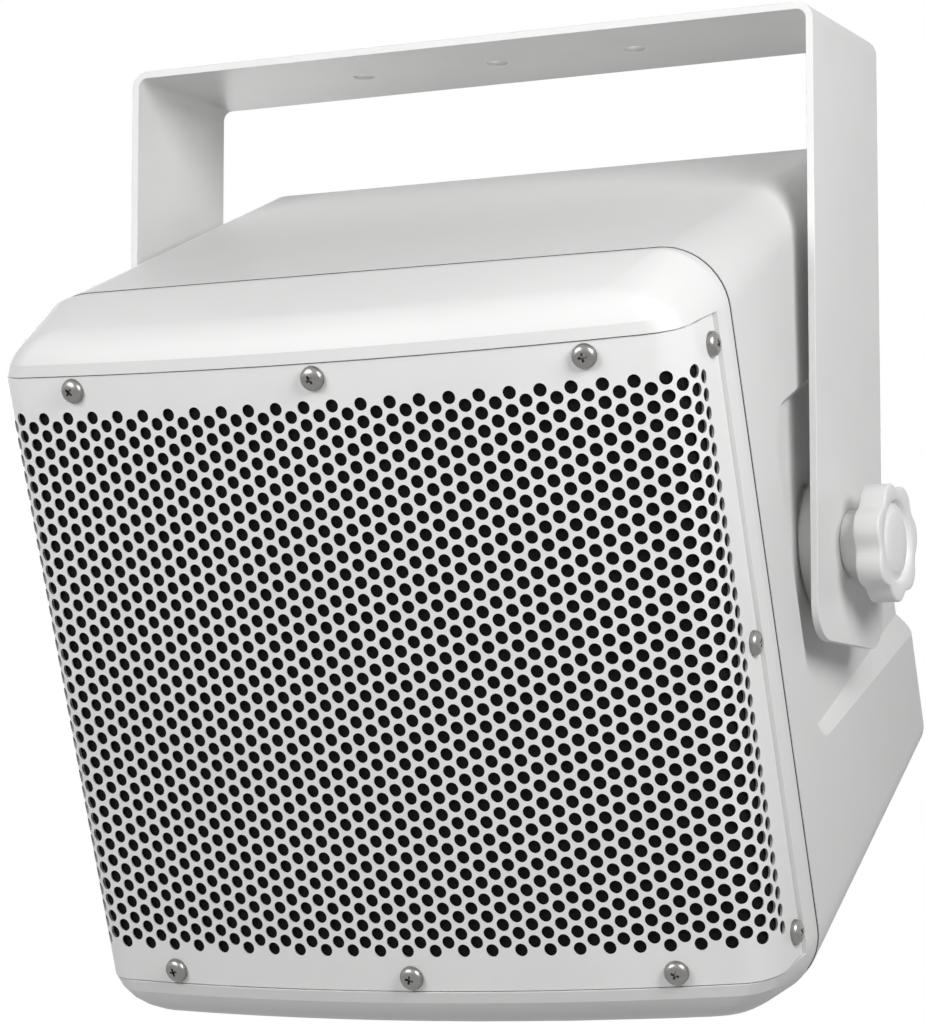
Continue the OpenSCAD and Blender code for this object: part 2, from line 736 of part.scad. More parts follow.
// Corrugated cloth disc that centres the voice coil
module woofer_spider() {
    z = spider_z;
    t = 0.7;
    r0 = former_r + 0.02;
    n = 40;
    r1 = spider_r - 4;
    function wave(r) = 1.6 * sin((r - r0) / (r1 - r0) * 360 * 4);
    color([0.75, 0.62, 0.35]) driver_ring(concat(
        [for (i = [0 : n]) let (r = r0 + (r1 - r0) * i / n) [r, z + wave(r)]],
        [[spider_r, z], [spider_r, z - t], [r1, z - t]],
        [for (i = [1 : n]) let (r = r1 + (r0 - r1) * i / n) [r, z - t + wave(r)]]));
}

// Former with the winding that moves in the magnet's gap
module voice_coil() {
    color([0.72, 0.42, 0.20]) driver_ring([
        [former_r - former_t, magnet_back + 12], [former_r, magnet_back + 12],
        [former_r, plate_back - 2], [former_r + winding_t, plate_back - 2],
        [former_r + winding_t, plate_front + 2],
        [former_r, plate_front + 2], [former_r, cone_neck_z + 1], [former_r - former_t, cone_neck_z + 1]]);
}

// Steel ring at the front of the magnet
module woofer_top_plate() {
    color(steel) driver_ring([[gap_r, plate_back], [magnet_d / 2 - 8, plate_back],
        [magnet_d / 2 - 8, plate_front], [gap_r, plate_front]]);
}

// Ring magnet
module woofer_magnet() {
    color([0.20, 0.20, 0.22]) driver_ring([[gap_r + 4, magnet_back], [magnet_d / 2, magnet_back],
        [magnet_d / 2, plate_back], [gap_r + 4, plate_back]]);
}

// Steel back plate and pole in one piece, bored for the tweeter's post
module woofer_yoke() {
    color(steel) driver_ring([[post_r + 0.02, yoke_back], [magnet_d / 2 - 8, yoke_back],
        [magnet_d / 2 - 8, magnet_back],
        [pole_r, magnet_back], [pole_r, plate_front + 1], [post_r + 0.02, plate_front + 1]]);
}

// The screws that hold the basket to the panel
module woofer_screws() {
    color(steel) at_driver_screws() translate([0, 1.2 - flange_t, 0])
        pan_screw(driver_head_d, 2.6, 3.9, panel_t + flange_t - 1.5);
}

// Post through the pole that carries the tweeter in front of the cone
module tweeter_post() {
    color([0.15, 0.15, 0.15]) driver_ring([[0, yoke_back - 3], [post_r + 4, yoke_back - 3],
        [post_r + 4, yoke_back], [post_r, yoke_back],
        [post_r, plate_front + 1.02], [post_r + 3, plate_front + 3], [post_r + 3, cup_back], [0, cup_back]]);
}

// Steel cup with the tweeter's magnet
module tweeter_cup() {
    color([0.16, 0.16, 0.17]) driver_ring([[0, cup_back], [cup_r, cup_back], [cup_r, cup_front],
        [dome_r + 1.4, cup_front], [dome_r + 1.4, cup_front - 9], [dome_r - 1.2, cup_front - 9],
        [dome_r - 1.2, cup_front - 1], [0, cup_front - 1]]);
}

// Silk dome with its coil
module tweeter_dome() {
    h = 4;
    r = (dome_r * dome_r + h * h) / (2 * h);
    t = 0.4;
    a = asin(dome_r / r);
    color([0.10, 0.09, 0.09]) driver_ring(concat([[dome_r, cup_front - 5], [dome_r, cup_front + 0.6]],
        [for (i = [1 : 9]) let (b = a * (1 - i / 9)) [r * sin(b), cup_front + 0.6 + h - r + r * cos(b)]],
        [for (i = [0 : 8]) let (b = a * i / 9)
            [(r - t) * sin(b), cup_front + 0.6 + h - r + (r - t) * cos(b)]],
        [[dome_r - t, cup_front], [dome_r - t, cup_front - 5]]));
}

// Short horn on the cup's rim
module tweeter_horn() {
    throat = dome_r + 1.2;
    mouth = horn_d / 2;
    h = 11;
    n = 8;
    color([0.09, 0.09, 0.09]) driver_ring(concat(
        [for (i = [0 : n]) [throat + (mouth - 2 - throat) * pow(i / n, 2), cup_front + h * i / n]],
        [[mouth, cup_front + h], [mouth, cup_front + h - 2]],
        [for (i = [1 : n])
            [throat + 3.3 + (mouth - throat - 3.3) * pow(1 - i / n, 2), (cup_front + h - 2) - (h - 2) * i / n]]));
}

// Places a part at each corner of the crossover board, facing the rear wall
module at_board_screws() {
    for (x = [-1, 1], z = [-1, 1])
        translate([board_x + x * (board_w / 2 - 6), inner_back - 3, board_z + z * (board_h / 2 - 6)])
            rotate([-90, 0, 0]) children();
}
board_y = inner_back - 3 - spacer_h;

// Glass-fibre board of the crossover
module crossover_board() {
    color([0.10, 0.35, 0.20]) difference() {
        translate([board_x - board_w / 2, board_y - 1.6, board_z - board_h / 2])
            cube([board_w, 1.6, board_h]);
        at_board_screws() translate([0, 0, -spacer_h - 3]) cylinder(r = 1.7, h = 6);
    }
}

// Spacers between board and rear wall
module board_spacers() {
    color([0.85, 0.85, 0.80]) at_board_screws() difference() {
        translate([0, 0, -spacer_h]) cylinder(r = 4, h = spacer_h);
        translate([0, 0, -spacer_h - 1]) cylinder(r = 1.7, h = spacer_h + 2);
    }
}

// Screws through board and spacers
module board_screws() {
    color(steel) at_board_screws() translate([0, 0, -spacer_h - 1.6]) rotate([90, 0, 0])
        pan_screw(6, 2, 2.5, spacer_h + 6);
}

// Two air-cored coils
module crossover_coils() {
    color([0.72, 0.42, 0.20]) for (p = [[-26, 18, 17], [20, -20, 13]])
        translate([board_x + p[0], board_y - 1.6, board_z + p[1]]) rotate([90, 0, 0]) difference() {
            cylinder(r = p[2], h = 16);
            translate([0, 0, -1]) cylinder(r = p[2] * 0.45, h = 18);
        }
}

// Three capacitors lying on the board
module crossover_capacitors() {
    color([0.75, 0.70, 0.15]) for (p = [[18, 24, 7], [18, 6, 6], [-26, -20, 8]])
        translate([board_x + p[0] - 14, board_y - 1.6 - p[2], board_z + p[1]])
            rotate([0, 90, 0]) cylinder(r = p[2], h = 28);
}

trafo_y = inner_back - 2 - core_t;

// Laminated core with two windows
module transformer_core() {
    color([0.35, 0.34, 0.33]) difference() {
        translate([trafo_x - core_w / 2, trafo_y, trafo_z - core_h / 2]) cube([core_w, core_t, core_h]);
        for (s = [-1, 1])
            translate([trafo_x + s * (core_w / 4 + 0.5) - core_w / 12, trafo_y - 1, trafo_z - core_h / 2 + 11])
                cube([core_w / 6, core_t + 2, core_h - 22]);
    }
}

// Winding round the middle leg of the core
module transformer_winding() {
    x = core_w / 4 + 0.5 - core_w / 12;
    z = core_h / 2 - 11;
    color([0.85, 0.75, 0.35]) difference() {
        translate([trafo_x - x - core_w / 6 + 0.5, trafo_y - 9, trafo_z - z + 0.5])
            cube([2 * (x + core_w / 6 - 0.5), core_t + 9 + 1.9, 2 * z - 1]);
        translate([trafo_x - x - eps, trafo_y - eps, trafo_z - z])
            cube([2 * (x + eps), core_t + 1.5, 2 * z]);
    }
}

// Steel strap over the core with two feet on the rear wall
module transformer_frame() {
    t = 1.2;
    foot = 14;
    color(steel) difference() {
        for (s = [-1, 1]) {
            translate([trafo_x - core_w / 2, trafo_y, trafo_z + s * (core_h / 2 + t / 2) - t / 2])
                cube([core_w, core_t + 2, t]);
            translate([trafo_x - core_w / 2, inner_back - t, trafo_z + (s > 0 ? core_h / 2 : -core_h / 2 - foot)])
                cube([core_w, t, foot]);
        }
        at_transformer_screws() translate([0, 0, -5]) cylinder(r = 2, h = 10);
    }
}

// Places a part at each of the transformer's feet, facing the rear wall
module at_transformer_screws() {
    for (x = [-1, 1], s = [-1, 1])
        translate([trafo_x + x * (core_w / 2 - 10), inner_back, trafo_z + s * (core_h / 2 + 8)])
            rotate([-90, 0, 0]) children();
}

// Screws in the transformer's feet
module transformer_screws() {
    color(steel) at_transformer_screws()
        translate([0, 0, -1.2]) rotate([90, 0, 0]) pan_screw(7, 2.2, 3.3, 1 + wall - 1.5);
}

// Polyester pad under the top of the cabinet
module damping_pad() {
    y0 = frame_d + 18;
    color([0.85, 0.85, 0.82]) translate([-half_w(cab_d) + 34, y0, top_z(y0) - wall - pad_t])
        cube([2 * half_w(cab_d) - 68, taper_d - 60, pad_t]);
}

// Places a part at each corner of the terminal cover, facing backwards
module at_cover_screws() {
    for (x = [-1, 1], z = [-1, 1])
        translate([x * (cover_w / 2 - 7), cab_d, cover_z + z * (cover_h / 2 - 7)]) children();
}
gland_z = cover_z - 14;

// Moulded cover over the terminals
module terminal_cover() {
    color(plastic_white) difference() {
        translate([0, 0, cover_z]) slab(cover_y, cover_y + cover_t)
            polygon(rounded(cover_w / 2, cover_h / 2, cover_h / 2, 8));
        at_cover_screws() rotate([-90, 0, 0])
            translate([0, 0, -1]) cylinder(r = 1.9, h = cover_gasket_t + cover_t + 2);
        y_rod(0, gland_z, gland_d / 2 + 0.1, cover_y - 1, cover_y + cover_t + 1);
    }
}

// Gasket under the terminal cover
module cover_gasket() {
    color(black) difference() {
        translate([0, 0, cover_z]) slab(cab_d, cover_y)
            polygon(rounded(cover_w / 2 - 1, cover_h / 2 - 1, cover_h / 2 - 1, 7));
        translate([-cover_hole_w / 2, cab_d - 1, cover_z - cover_hole_h / 2])
            cube([cover_hole_w, wall, cover_hole_h]);
        at_cover_screws() rotate([-90, 0, 0]) translate([0, 0, -1]) cylinder(r = 1.9, h = cover_gasket_t + 2);
    }
}

// Screws of the terminal cover
module cover_screws() {
    color(steel) at_cover_screws() translate([0, cover_gasket_t + cover_t, 0]) mirror([0, 1, 0])
        pan_screw(6.5, 2.2, 2.9, cover_t + cover_gasket_t + wall + 1);
}

// Terminal block on the inside of the cover
module terminal_block() {
    poles = 4;
    w = 44;
    z = cover_z + 14;
    color([0.15, 0.30, 0.20]) difference() {
        translate([-w / 2, cover_y - 16, z - 9]) cube([w, 16, 18]);
        for (i = [0 : poles - 1]) translate([-w / 2 + (i + 0.5) * w / poles, cover_y - 12, z - 10])
            cylinder(r = 2, h = 6);
    }
}

gland_y = cover_y + cover_t;

// Gland body with a hexagon outside the cover and a thread through it
module gland_body() {
    color([0.20, 0.20, 0.21]) difference() {
        union() {
            y_rod(0, gland_z, gland_d / 2, cover_y - 8, gland_y + 1);
            translate([0, gland_y + 6, gland_z]) rotate([90, 0, 0]) cylinder(r = gland_d * 0.67, h = 6, $fn = 6);
            y_rod(0, gland_z, gland_d / 2 - 0.5, gland_y + 5, gland_y + 13);
        }
        y_rod(0, gland_z, gland_d / 2 - 3.5, gland_y + 4, gland_y + 14);
        y_rod(0, gland_z, gland_bore_d / 2, cover_y - 9, gland_y + 14);
    }
}

// Rubber seal that the nut squeezes round the cable
module gland_seal() {
    color(black) difference() {
        y_rod(0, gland_z, gland_d / 2 - 3.6, gland_y + 4, gland_y + 17);
        y_rod(0, gland_z, gland_bore_d / 2, gland_y + 3, gland_y + 18);
    }
}

// Domed nut of the gland
module gland_nut() {
    color([0.20, 0.20, 0.21]) difference() {
        union() {
            translate([0, gland_y + 16, gland_z]) rotate([90, 0, 0]) cylinder(r = gland_d * 0.67, h = 9.7, $fn = 6);
            y_rod(0, gland_z, gland_d * 0.52, gland_y + 15, gland_y + 19);
        }
        y_rod(0, gland_z, gland_d / 2 - 0.4, gland_y + 6, gland_y + 13.2);
        y_rod(0, gland_z, gland_d / 2 - 3.5, gland_y + 12, gland_y + 17.2);
        y_rod(0, gland_z, gland_bore_d / 2 + 0.4, gland_y + 14, gland_y + 20);
    }
}

// Locknut on the inside of the cover
module gland_locknut() {
    color([0.20, 0.20, 0.21]) difference() {
        translate([0, cover_y, gland_z]) rotate([90, 0, 0]) cylinder(r = gland_d * 0.67, h = 5, $fn = 6);
        y_rod(0, gland_z, gland_d / 2 + 0.02, cover_y - 6, cover_y + 1);
    }
}

u_bracket();
in_bracket() rear_shell();
in_bracket() front_frame();
in_bracket() cabinet_gasket();
in_bracket() grille();
in_bracket() grille_foam();
in_bracket() grille_screws();
in_bracket() shell_screws();
in_bracket() mirror([1, 0, 0]) pivot_washer();  // left_pivot_washer
in_bracket() pivot_washer();  // right_pivot_washer
in_bracket() mirror([1, 0, 0]) insert();  // left_insert
in_bracket() insert();  // right_insert
in_bracket() mirror([1, 0, 0]) knob();  // left_knob
in_bracket() knob();  // right_knob
in_bracket() mirror([1, 0, 0]) stud();  // left_stud
in_bracket() stud();  // right_stud
in_bracket() woofer_basket();
in_bracket() woofer_gasket();
in_bracket() woofer_surround();
in_bracket() woofer_cone();
in_bracket() woofer_spider();
in_bracket() voice_coil();
in_bracket() woofer_top_plate();
in_bracket() woofer_magnet();
in_bracket() woofer_yoke();
in_bracket() woofer_screws();
in_bracket() tweeter_post();
in_bracket() tweeter_cup();
in_bracket() tweeter_dome();
in_bracket() tweeter_horn();
in_bracket() crossover_board();
in_bracket() board_spacers();
in_bracket() board_screws();
in_bracket() crossover_coils();
in_bracket() crossover_capacitors();
in_bracket() transformer_core();
in_bracket() transformer_winding();
in_bracket() transformer_frame();
in_bracket() transformer_screws();
in_bracket() damping_pad();
in_bracket() terminal_cover();
in_bracket() cover_gasket();
in_bracket() cover_screws();
in_bracket() terminal_block();
in_bracket() gland_body();
in_bracket() gland_seal();
in_bracket() gland_nut();
in_bracket() gland_locknut();
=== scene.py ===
# White box loudspeaker in its U-shaped bracket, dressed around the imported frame.
import json
import math

import bmesh
import bpy
from mathutils import Matrix, Vector, noise


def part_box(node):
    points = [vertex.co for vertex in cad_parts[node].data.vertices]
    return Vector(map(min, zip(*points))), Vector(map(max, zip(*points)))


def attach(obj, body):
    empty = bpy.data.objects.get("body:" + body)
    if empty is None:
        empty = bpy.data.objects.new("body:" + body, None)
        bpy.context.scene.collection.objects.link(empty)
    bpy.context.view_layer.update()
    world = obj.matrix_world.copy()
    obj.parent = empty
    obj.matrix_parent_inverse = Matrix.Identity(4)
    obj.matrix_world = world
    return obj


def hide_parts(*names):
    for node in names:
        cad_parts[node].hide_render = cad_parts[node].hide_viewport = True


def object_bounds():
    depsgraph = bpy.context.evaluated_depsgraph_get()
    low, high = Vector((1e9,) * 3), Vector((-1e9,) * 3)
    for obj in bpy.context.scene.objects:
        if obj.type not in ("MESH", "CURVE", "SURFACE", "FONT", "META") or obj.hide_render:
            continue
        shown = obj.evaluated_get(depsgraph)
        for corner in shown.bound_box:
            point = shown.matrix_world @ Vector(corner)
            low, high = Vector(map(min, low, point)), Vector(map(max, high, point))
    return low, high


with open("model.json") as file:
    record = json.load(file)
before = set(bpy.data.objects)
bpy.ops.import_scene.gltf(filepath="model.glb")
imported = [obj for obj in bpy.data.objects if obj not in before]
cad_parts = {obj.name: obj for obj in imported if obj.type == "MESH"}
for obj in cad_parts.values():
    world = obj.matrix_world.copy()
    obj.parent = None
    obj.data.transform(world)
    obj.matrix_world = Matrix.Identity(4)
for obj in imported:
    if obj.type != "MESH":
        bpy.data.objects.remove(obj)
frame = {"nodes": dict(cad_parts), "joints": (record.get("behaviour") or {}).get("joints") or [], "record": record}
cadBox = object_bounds()
scene = bpy.context.scene
joints = {joint["name"]: joint for joint in frame["joints"]}
slotOf = {part["node"]: part["material_slot"] for part in frame["record"]["subparts"]}
bodyOf = {node: body for body, nodes in frame["record"]["behaviour"]["bodies"].items() for node in nodes}
mm = 0.001
close = 0.01  # mm within which two points count as one
pivot = Vector(joints["cabinet_tilt"]["pos_m"])

# The cabinet's own frame, in mm: origin at the front of the grille, +Y into it, +Z up
cabinetFrame = dict(tilt=20.8, pivotY=136, pivotZ=11)
cabinetPlace = (Matrix.Translation(pivot)
                @ Matrix.Rotation(math.radians(cabinetFrame["tilt"]), 4, "X")
                @ Matrix.Scale(mm, 4)
                @ Matrix.Translation((0, -cabinetFrame["pivotY"], -cabinetFrame["pivotZ"])))
rowPlace = Matrix.Scale(mm, 4)

# The camera, the lamps and the surroundings, in metres
view = dict(place=(0.6783, -1.4601, -0.3646), ahead=(-0.4270, 0.8980, 0.1056), lens=136.4, sensor=36)
keyLamp = dict(towards=(0.78, -0.52, 0.35), distance=1.0, size=0.5, watts=7.6)
fillLamp = dict(towards=(-0.42, -0.87, 0.30), distance=1.2, size=0.7, watts=8.2)
backLamp = dict(towards=(-0.66, 0.74, 0.18), distance=1.8, size=1.0, watts=17)
skyLight = dict(colour=(1.0, 1.0, 1.0), strength=0.045)
floorShape = dict(drop=0.30, size=9.0, colour=(0.5, 0.5, 0.5), rough=0.9, white=0.65)


def buildSurroundings():
    world = bpy.data.worlds.new("studio")
    world.use_nodes = True
    studio = NodeTree(world.node_tree)
    sky = studio.node("ShaderNodeBackground", {}, {"Color": (*skyLight["colour"], 1),
                                                   "Strength": skyLight["strength"]})
    shown = studio.whiteToCamera(sky, "ShaderNodeBackground", 1)
    studio.node("ShaderNodeOutputWorld", {}, {"Surface": shown})
    scene.world = world
    bm = bmesh.new()
    bmesh.ops.create_grid(bm, x_segments=1, y_segments=1, size=floorShape["size"] / 2)
    bm.transform(Matrix.Translation((0, 0, cadBox[0].z - floorShape["drop"])))
    floor = newObject("floor", bm)
    paint = Paint("floor_paint")
    matt = paint.shader(colour=floorShape["colour"], rough=floorShape["rough"])
    shown = paint.whiteToCamera(matt, "ShaderNodeEmission", floorShape["white"])
    floor.data.materials.append(paint.finish(shown))


def aim(obj, direction):
    obj.rotation_euler = Vector(direction).to_track_quat("-Z", "Y").to_euler()


def addLamp(name, lamp, target):
    data = bpy.data.lights.new(name, "AREA")
    data.shape = "DISK"
    data.size = lamp["size"]
    data.energy = lamp["watts"]
    obj = bpy.data.objects.new(name, data)
    scene.collection.objects.link(obj)
    direction = Vector(lamp["towards"]).normalized()
    obj.location = target + direction * lamp["distance"]
    aim(obj, -direction)


def buildCamera():
    data = bpy.data.cameras.new("camera")
    data.lens = view["lens"]
    data.sensor_width = view["sensor"]
    obj = bpy.data.objects.new("camera", data)
    scene.collection.objects.link(obj)
    obj.location = view["place"]
    aim(obj, view["ahead"])
    scene.camera = obj


# A socket that adds its own maths nodes
class Wire:
    def __init__(self, tree, socket):
        self.tree, self.socket = tree, socket

    def maths(self, operation, first, second):
        return self.tree.node("ShaderNodeMath", dict(operation=operation), {0: first, 1: second})

    def __add__(self, other):
        return self.maths("ADD", self, other)

    def __radd__(self, other):
        return self.maths("ADD", other, self)

    def __mul__(self, other):
        return self.maths("MULTIPLY", self, other)

    def __rmul__(self, other):
        return self.maths("MULTIPLY", other, self)

    def orMore(self, other):  # the larger of the two
        return self.maths("MAXIMUM", self, other)

    def between(self, low, high):  # 0 at low, 1 at high, smooth
        return self.tree.node("ShaderNodeMapRange", dict(interpolation_type="SMOOTHSTEP"),
                              {"Value": self, "From Min": low, "From Max": high})


# The nodes of the world or of a material
class NodeTree:
    def __init__(self, tree):
        self.tree = tree
        self.tree.nodes.clear()

    def node(self, kind, settings, sockets, out=0):
        made = self.tree.nodes.new(kind)
        for key, value in settings.items():
            setattr(made, key, value)
        for key, value in sockets.items():
            if isinstance(value, Wire):
                self.tree.links.new(value.socket, made.inputs[key])
            else:
                made.inputs[key].default_value = value
        return Wire(self, made.outputs[out] if made.outputs else None)

    # Mixes share of white into shader where the camera, or a glossy or transmitted ray, looks at it
    def whiteToCamera(self, shader, kind, share):
        camera, glossy, through = [self.node("ShaderNodeLightPath", {}, {}, f"Is {ray} Ray")
                                   for ray in ("Camera", "Glossy", "Transmission")]
        seen = camera.orMore(glossy).orMore(through) * share
        white = self.node(kind, {}, {"Color": (1, 1, 1, 1)})
        return self.node("ShaderNodeMixShader", {}, {0: seen, 1: shader, 2: white})


class Paint(NodeTree):
    def __init__(self, name):
        self.material = bpy.data.materials.new(name)
        self.material.use_nodes = True
        super().__init__(self.material.node_tree)
        self.place = self.node("ShaderNodeTexCoord", {}, {}, "Object")

    def grain(self, size, detail, rough=0.5):  # noise with features of this size, in mm
        return self.node("ShaderNodeTexNoise", {}, {"Vector": self.place, "Scale": 1 / (size * mm),
                                                    "Detail": detail, "Roughness": rough})

    def cells(self, size):  # the distance to the nearest of the cells' middles
        return self.node("ShaderNodeTexVoronoi", {}, {"Vector": self.place, "Scale": 1 / (size * mm)})

    def mix(self, factor, first, second):  # the colours' sockets are 6, 7 and, going out, 2
        return self.node("ShaderNodeMix", dict(data_type="RGBA"),
                         {0: factor, 6: (*first, 1), 7: (*second, 1)}, 2)

    def bump(self, height, depth, strength):  # depth in mm
        return self.node("ShaderNodeBump", {}, {"Height": height, "Distance": depth * mm,
                                                "Strength": strength})

    def shader(self, **sockets):
        names = dict(colour="Base Color", metal="Metallic", rough="Roughness", normal="Normal",
                     sheen="Sheen Weight", level="Specular IOR Level")
        values = {names[key]: (*value, 1) if isinstance(value, tuple) else value
                  for key, value in sockets.items()}
        return self.node("ShaderNodeBsdfPrincipled", {}, values)

    def finish(self, shader):
        self.node("ShaderNodeOutputMaterial", {}, {"Surface": shader})
        return self.material

    def surface(self, **sockets):
        return self.finish(self.shader(**sockets))


# Each finish takes its slot's name and colour and gives the material
def powderCoat(name, colour):
    paint = Paint(name)
    cloud = paint.grain(45, 3)
    skin = paint.grain(1.6, 3)
    dark = tuple(c * 0.965 for c in colour)
    return paint.surface(colour=paint.mix(cloud.between(0.35, 0.75), colour, dark),
                         rough=0.36 + 0.10 * skin, normal=paint.bump(skin, 0.05, 0.5))


def mouldedPlastic(name, colour):
    paint = Paint(name)
    cloud = paint.grain(60, 3)
    skin = paint.grain(0.45, 2, 0.6)
    dark = tuple(c * 0.97 for c in colour)
    return paint.surface(colour=paint.mix(cloud.between(0.3, 0.8), colour, dark),
                         rough=0.44 + 0.10 * skin, normal=paint.bump(skin, 0.03, 0.6))


def metal(name, colour):
    paint = Paint(name)
    cloud = paint.grain(3, 3)
    fine = paint.grain(0.3, 2)
    dark = tuple(c * 0.86 for c in colour)
    return paint.surface(colour=paint.mix(cloud, colour, dark), metal=1.0,
                         rough=0.22 + 0.12 * cloud, normal=paint.bump(fine, 0.01, 0.5))


def rubber(name, colour):
    paint = Paint(name)
    skin = paint.grain(0.8, 3)
    light = tuple(min(1, c * 1.12 + 0.01) for c in colour)
    return paint.surface(colour=paint.mix(paint.grain(12, 2), colour, light),
                         rough=0.62 + 0.2 * skin, normal=paint.bump(skin, 0.06, 0.6))


def foamPores(name, colour):
    paint = Paint(name)
    pores = paint.cells(1.1)
    # The pores' middles are painted darker, as painted shade inside the pores; the same mask also sets their bump
    # depth
    deep = pores.between(0.0, 0.5)
    return paint.surface(colour=paint.mix(deep, tuple(c * 0.3 for c in colour), colour),
                         rough=0.95, normal=paint.bump(deep, 0.5, 0.8), level=0.1)


def cloth(name, colour):
    paint = Paint(name)
    fibre = paint.grain(0.7, 4, 0.7)
    dark = tuple(c * 0.75 for c in colour)
    return paint.surface(colour=paint.mix(fibre, dark, colour), rough=0.85,
                         normal=paint.bump(fibre, 0.2, 0.6), sheen=0.2)


def castDark(name, colour):
    paint = Paint(name)
    grit = paint.grain(1.0, 4, 0.65)
    light = tuple(min(1, c * 1.4) for c in colour)
    return paint.surface(colour=paint.mix(grit, colour, light), rough=0.5 + 0.25 * grit,
                         normal=paint.bump(grit, 0.08, 0.7))


def windings(name, colour):
    paint = Paint(name)
    wire = paint.grain(0.5, 1)
    dark = tuple(c * 0.6 for c in colour)
    return paint.surface(colour=paint.mix(wire, dark, colour), metal=0.8, rough=0.3 + 0.2 * wire,
                         normal=paint.bump(wire, 0.1, 0.6))


def buildPaints():
    colours = {m["slot"]: tuple(m["base_color"][:3]) for m in frame["record"]["materials"]}
    kinds = dict(
        bracket_paint=powderCoat, grille_paint=powderCoat, black_steel=powderCoat, yoke_steel=metal,
        frame_plastic=mouldedPlastic, shell_plastic=mouldedPlastic, knob_plastic=mouldedPlastic,
        black_plastic=mouldedPlastic, board_green=mouldedPlastic, spacer_plastic=mouldedPlastic,
        capacitor_film=mouldedPlastic, foam=foamPores, black_rubber=rubber, grey_rubber=rubber,
        screw_steel=metal, brass=metal, cone_paper=cloth, spider_cloth=cloth, dome_silk=cloth,
        pad=cloth, copper=windings, ferrite=castDark, laminations=castDark)
    # The finishes that the photograph shows
    seen = dict(bracket_paint=(0.72, 0.72, 0.715), grille_paint=(0.84, 0.84, 0.835),
                frame_plastic=(0.77, 0.77, 0.765), shell_plastic=(0.74, 0.74, 0.735),
                # The screw steel is darker than bare steel: partly its own grey, partly a painted reflection of
                # dark surroundings
                knob_plastic=(0.80, 0.80, 0.795), screw_steel=(0.30, 0.295, 0.285),
                # The foam is near black: partly its own black, partly painted shade behind the perforated sheet
                foam=(0.012, 0.012, 0.012), black_rubber=(0.03, 0.03, 0.03))
    return {slot: kinds[slot](slot, seen.get(slot, colour)) for slot, colour in colours.items()}


# Pieces are modelled in mm until they are placed
def newObject(name, bm):
    mesh = bpy.data.meshes.new(name)
    bm.to_mesh(mesh)
    bm.free()
    obj = bpy.data.objects.new(name, mesh)
    scene.collection.objects.link(obj)
    return obj


def carve(bm, cutters):  # cuts each cutter's mesh out of bm and gives the new bmesh
    target = newObject("carved", bm)
    tools = [newObject("cutter", cutter) for cutter in cutters]
    for tool in tools:
        cut = target.modifiers.new("cut", "BOOLEAN")
        cut.operation, cut.solver, cut.object = "DIFFERENCE", "EXACT", tool
    bpy.context.view_layer.update()
    done = bmesh.new()
    done.from_object(target, bpy.context.evaluated_depsgraph_get())
    for obj in (target, *tools):
        bpy.data.objects.remove(obj)
    return done


def rod(radius, start, end):  # a closed cylinder between two points
    start, end = Vector(start), Vector(end)
    bm = bmesh.new()
    bmesh.ops.create_cone(bm, cap_ends=True, segments=32, radius1=radius, radius2=radius,
                          depth=(end - start).length)
    turn = (end - start).to_track_quat("Z", "Y").to_matrix().to_4x4()
    bm.transform(Matrix.Translation((start + end) / 2) @ turn)
    return bm


def turned(profile, steps):  # a profile of (radius, height) points spun round Z
    bm = bmesh.new()
    verts = [bm.verts.new((r, 0, z)) for r, z in profile]
    edges = [bm.edges.new(pair) for pair in zip(verts, verts[1:])]
    bmesh.ops.spin(bm, geom=verts + edges, cent=(0, 0, 0), axis=(0, 0, 1), angle=math.tau,
                   steps=steps, use_merge=True)
    bmesh.ops.remove_doubles(bm, verts=bm.verts, dist=1e-4)
    return bm


# Makes bm the piece that stands for the node. Edges sharper than smooth, in degrees, stay sharp
def addPiece(name, bm, place, node, smooth=32, join=1e-3, turnOut=True):
    bmesh.ops.remove_doubles(bm, verts=bm.verts, dist=join)
    bm.transform(place)
    if turnOut:
        bmesh.ops.recalc_face_normals(bm, faces=bm.faces)
    obj = newObject(name, bm)
    obj.data.shade_smooth()
    obj.data.set_sharp_from_angle(angle=math.radians(smooth))
    obj.data.materials.append(paints[slotOf[node]])
    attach(obj, bodyOf[node])
    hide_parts(node)
    return obj


def soften(obj, width, segments=2, angle=34):  # rounds edges sharper than angle, width in mm
    bevel = obj.modifiers.new("edges", "BEVEL")
    bevel.limit_method = "ANGLE"
    bevel.angle_limit = math.radians(angle)
    bevel.width, bevel.segments = width * mm, segments
    obj.modifiers.new("flats", "WEIGHTED_NORMAL").keep_sharp = True


copyShape = dict(same=2e-6, flat=0.6, join=1e-7)  # in metres and degrees, for copies of CAD nodes


def cadCopy(name, node, width):  # the node's own shape with its edges rounded, width in mm
    bm = bmesh.new()
    bm.from_mesh(frame["nodes"][node].data)
    bmesh.ops.remove_doubles(bm, verts=bm.verts, dist=copyShape["same"])
    bmesh.ops.dissolve_limit(bm, angle_limit=math.radians(copyShape["flat"]), verts=bm.verts,
                             edges=bm.edges)
    obj = addPiece(name, bm, Matrix.Identity(4), node, join=copyShape["join"], turnOut=False)
    soften(obj, width)


# The bracket: one bent strip
bracketShape = dict(strip=3, bend=7, bendSteps=8, legRound=14, legSteps=10, fixing=4.5, pitch=63,
                    stud=4.5, edge=0.35, near=1)


